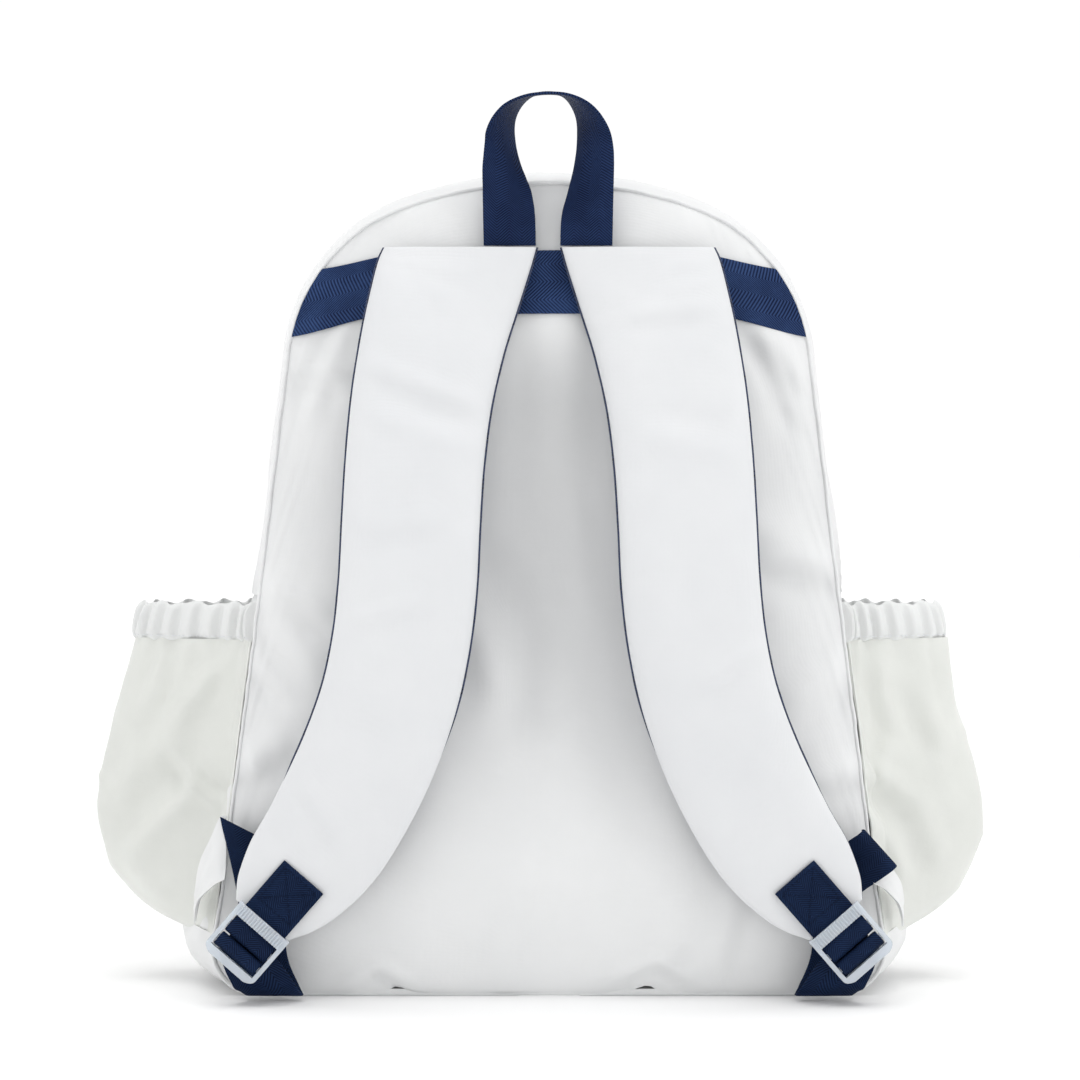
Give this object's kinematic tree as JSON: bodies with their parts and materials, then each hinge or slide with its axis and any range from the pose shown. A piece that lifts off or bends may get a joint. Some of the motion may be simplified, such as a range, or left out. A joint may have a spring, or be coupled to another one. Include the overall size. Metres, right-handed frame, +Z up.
{
  "type": "racket backpack",
  "caption": "White nylon racket backpack with curved padded shoulder straps, navy webbing grab handle, gathered side pockets, zipped front door and an open-topped racket sleeve.",
  "frame": {"origin": "middle of the flat underside, halfway between the back and front seams", "axes": "+Z up, shoulder straps on the -Y side, racket sleeve on the +Y side, +X to the right when the straps are looked at"},
  "size_m": [0.4734, 0.2291, 0.4624],
  "materials": {
    "white_cloth": "plain-woven coated white nylon, slightly wrinkled",
    "pocket_cloth": "thin gathered off-white nylon",
    "navy_web": "navy herringbone webbing",
    "navy_mesh": "navy air-mesh lining",
    "foam": "closed-cell foam padding",
    "board": "grey base board",
    "zip_white": "white coil zip tape",
    "clear_plastic": "clear bluish moulded plastic",
    "nickel": "polished nickel"
  },
  "bodies": {
    "bag": {"back_panel": "white_cloth", "back_yoke": "white_cloth", "yoke_band": "navy_web", "base_panel": "white_cloth", "base_board": "board", "side_panel_left": "white_cloth", "side_panel_right": "white_cloth", "top_gusset": "white_cloth", "main_zip_rear": "zip_white", "front_lower_panel": "white_cloth", "inner_sleeve": "white_cloth", "inner_sleeve_binding": "navy_web", "side_pocket_left": "pocket_cloth", "side_pocket_right": "pocket_cloth", "pocket_elastic_left": "pocket_cloth", "pocket_elastic_right": "pocket_cloth", "anchor_wing_left": "white_cloth", "anchor_wing_right": "white_cloth", "adjuster_web_left": "navy_web", "adjuster_web_right": "navy_web"},
    "door": {"front_panel": "white_cloth", "main_zip_front": "zip_white", "racket_sleeve": "white_cloth", "sleeve_binding": "navy_web", "front_pocket": "white_cloth", "front_zip_tape": "zip_white", "keeper_anchor": "navy_web", "snap_stud": "nickel"},
    "keeper": {"racket_keeper": "navy_web", "snap_cap": "nickel"},
    "front_slider": {"front_zip_slider": "nickel"},
    "front_pull": {"front_zip_pull": "nickel"},
    "handle": {"grab_handle": "navy_web"},
    "strap_left": {"strap_cover_left": "white_cloth", "strap_foam_left": "foam", "strap_lining_left": "navy_mesh", "strap_tab_left": "navy_web"},
    "buckle_left": {"buckle_left": "clear_plastic"},
    "slider_left": {"main_zip_slider_left": "nickel"},
    "pull_left": {"main_zip_pull_left": "nickel"},
    "strap_right": {"strap_cover_right": "white_cloth", "strap_foam_right": "foam", "strap_lining_right": "navy_mesh", "strap_tab_right": "navy_web"},
    "buckle_right": {"buckle_right": "clear_plastic"},
    "slider_right": {"main_zip_slider_right": "nickel"},
    "pull_right": {"main_zip_pull_right": "nickel"}
  },
  "joints": [
    {"name": "door_open", "type": "hinge", "parent": "bag", "child": "door", "pos_m": [0, 0.069, 0.058], "axis": [-1, 0, 0], "range_deg": [0, 80]},
    {"name": "keeper_open", "type": "hinge", "parent": "door", "child": "keeper", "pos_m": [-0.066, 0.07255, 0.352], "axis": [0, 0, 1], "range_deg": [0, 140]},
    {"name": "front_slider_slide", "type": "slide", "parent": "door", "child": "front_slider", "axis": [1, 0, 0], "range_m": [0, 0.139]},
    {"name": "front_pull_lift", "type": "hinge", "parent": "front_slider", "child": "front_pull", "pos_m": [-0.07, 0.1071, 0.213], "axis": [1, 0, 0], "range_deg": [0, 150]},
    {"name": "handle_fold", "type": "hinge", "parent": "bag", "child": "handle", "pos_m": [0, -0.08, 0.3846], "axis": [1, 0, 0], "range_deg": [-10, 60], "stiffness_Nm_per_rad": 0.02},
    {"name": "strap_left_swing", "type": "hinge", "parent": "bag", "child": "strap_left", "pos_m": [0, -0.083, 0.384], "axis": [-1, 0, 0], "range_deg": [0, 25], "deforming": ["adjuster_web_left"]},
    {"name": "buckle_left_tilt", "type": "hinge", "parent": "strap_left", "child": "buckle_left", "pos_m": [-0.1507, -0.0964, 0.034], "axis": [-0.7547, 0, 0.6561], "range_deg": [-20, 10], "deforming": ["strap_tab_left"]},
    {"name": "slider_left_slide", "type": "hinge", "parent": "bag", "child": "slider_left", "pos_m": [0, 0.051, 0.194], "axis": [0, -1, 0], "range_deg": [0, 14.5]},
    {"name": "pull_left_lift", "type": "hinge", "parent": "slider_left", "child": "pull_left", "pos_m": [-0.0099, 0.051, 0.4295], "axis": [0, 1, 0], "range_deg": [0, 150]},
    {"name": "strap_right_swing", "type": "hinge", "parent": "bag", "child": "strap_right", "pos_m": [0, -0.083, 0.384], "axis": [-1, 0, 0], "range_deg": [0, 25], "deforming": ["adjuster_web_right"]},
    {"name": "buckle_right_tilt", "type": "hinge", "parent": "strap_right", "child": "buckle_right", "pos_m": [0.1507, -0.0964, 0.034], "axis": [-0.7547, 0, -0.6561], "range_deg": [-20, 10], "deforming": ["strap_tab_right"]},
    {"name": "slider_right_slide", "type": "hinge", "parent": "bag", "child": "slider_right", "pos_m": [0, 0.051, 0.194], "axis": [0, 1, 0], "range_deg": [0, 14.5]},
    {"name": "pull_right_lift", "type": "hinge", "parent": "slider_right", "child": "pull_right", "pos_m": [0.0099, 0.051, 0.4295], "axis": [0, -1, 0], "range_deg": [0, 150]}
  ]
}
